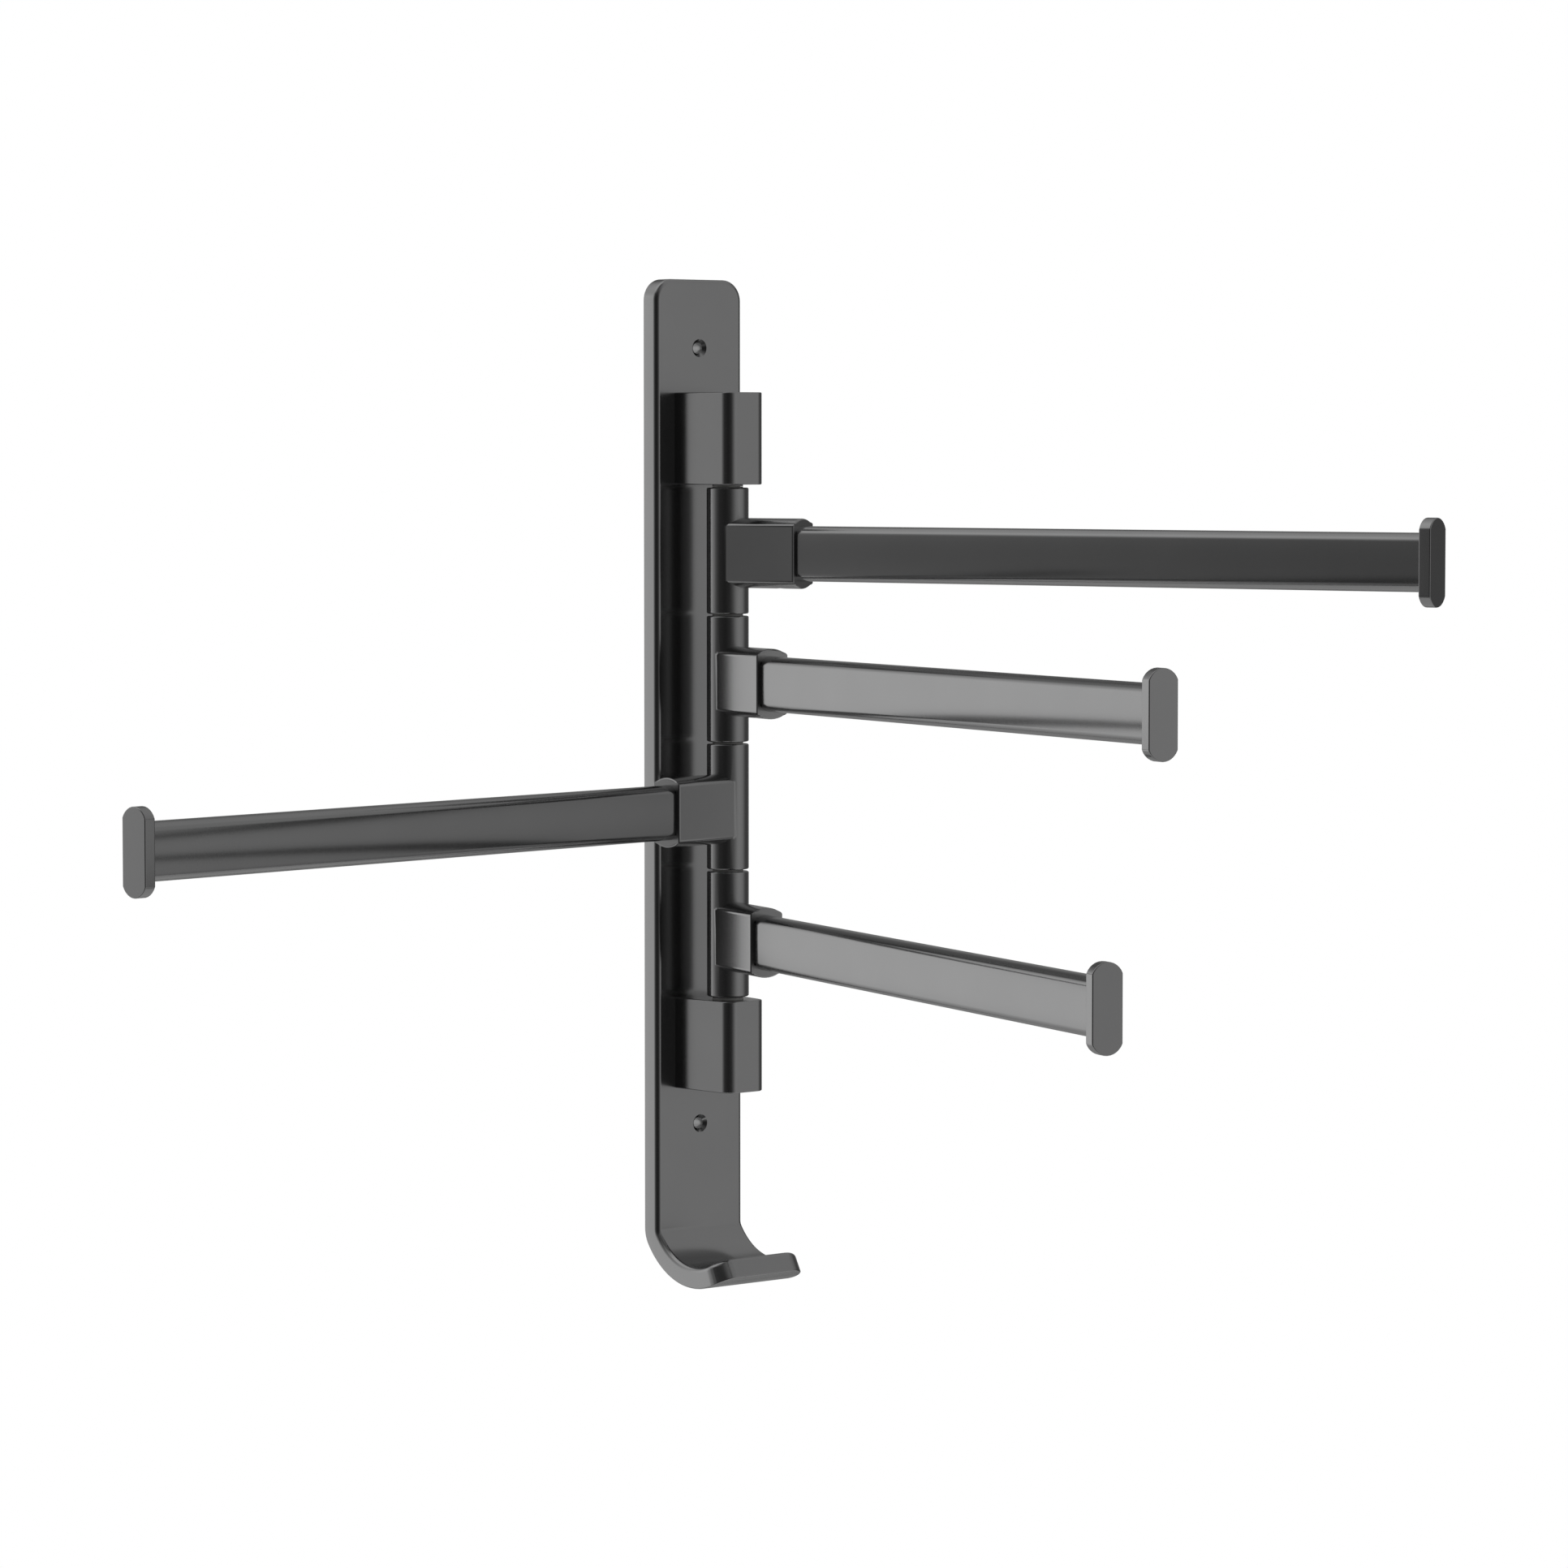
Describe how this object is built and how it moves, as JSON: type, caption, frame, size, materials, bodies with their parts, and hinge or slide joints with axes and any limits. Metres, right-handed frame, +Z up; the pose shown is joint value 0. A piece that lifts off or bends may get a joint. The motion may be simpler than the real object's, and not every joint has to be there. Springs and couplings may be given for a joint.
{
  "type": "swing arm towel bar",
  "caption": "Wall-mounted towel rail in dark satin metal: flat arms with end caps swing on one upright pivot above a scooped hook.",
  "frame": {"origin": "middle of the two wall screw holes, on the wall plate's back face", "axes": "+Z up, -Y away from the wall towards the user, +X to the user's right"},
  "size_m": [0.3846, 0.3211, 0.3788],
  "materials": {
    "gunmetal": "dark grey, satin, fine bead-blasted and anodised",
    "rod_steel": "ground",
    "screw_steel": "plain stainless",
    "nylon": "natural, matt"
  },
  "bodies": {
    "wall_mount": {"wall_plate": "gunmetal", "upper_bracket": "gunmetal", "lower_bracket": "gunmetal", "upper_bracket_screws": "screw_steel", "lower_bracket_screws": "screw_steel", "pivot_rod": "rod_steel", "upper_rod_screw": "screw_steel", "lower_rod_screw": "screw_steel", "upper_thrust_washer": "nylon", "lower_thrust_washer": "nylon"},
    "arm_1": {"arm_1_knuckle": "gunmetal", "arm_1_tube": "gunmetal", "arm_1_end_cap": "gunmetal", "arm_1_upper_bush": "nylon", "arm_1_lower_bush": "nylon", "arm_1_tube_screw": "screw_steel"},
    "arm_2": {"arm_2_knuckle": "gunmetal", "arm_2_tube": "gunmetal", "arm_2_end_cap": "gunmetal", "arm_2_upper_bush": "nylon", "arm_2_lower_bush": "nylon", "arm_2_tube_screw": "screw_steel"},
    "arm_3": {"arm_3_knuckle": "gunmetal", "arm_3_tube": "gunmetal", "arm_3_end_cap": "gunmetal", "arm_3_upper_bush": "nylon", "arm_3_lower_bush": "nylon", "arm_3_tube_screw": "screw_steel"},
    "arm_4": {"arm_4_knuckle": "gunmetal", "arm_4_tube": "gunmetal", "arm_4_end_cap": "gunmetal", "arm_4_upper_bush": "nylon", "arm_4_lower_bush": "nylon", "arm_4_tube_screw": "screw_steel"}
  },
  "joints": [
    {"name": "arm_1_swing", "type": "hinge", "parent": "wall_mount", "child": "arm_1", "pos_m": [0, -0.0249, 0.07095], "axis": [0, 0, 1], "range_deg": [-105.9, 74.1]},
    {"name": "arm_2_swing", "type": "hinge", "parent": "wall_mount", "child": "arm_2", "pos_m": [0, -0.0249, 0.02285], "axis": [0, 0, 1], "range_deg": [-79.7, 100.3]},
    {"name": "arm_3_swing", "type": "hinge", "parent": "wall_mount", "child": "arm_3", "pos_m": [0, -0.0249, -0.02525], "axis": [0, 0, 1], "range_deg": [-9.4, 170.6]},
    {"name": "arm_4_swing", "type": "hinge", "parent": "wall_mount", "child": "arm_4", "pos_m": [0, -0.0249, -0.07335], "axis": [0, 0, 1], "range_deg": [-75.7, 104.3]}
  ]
}
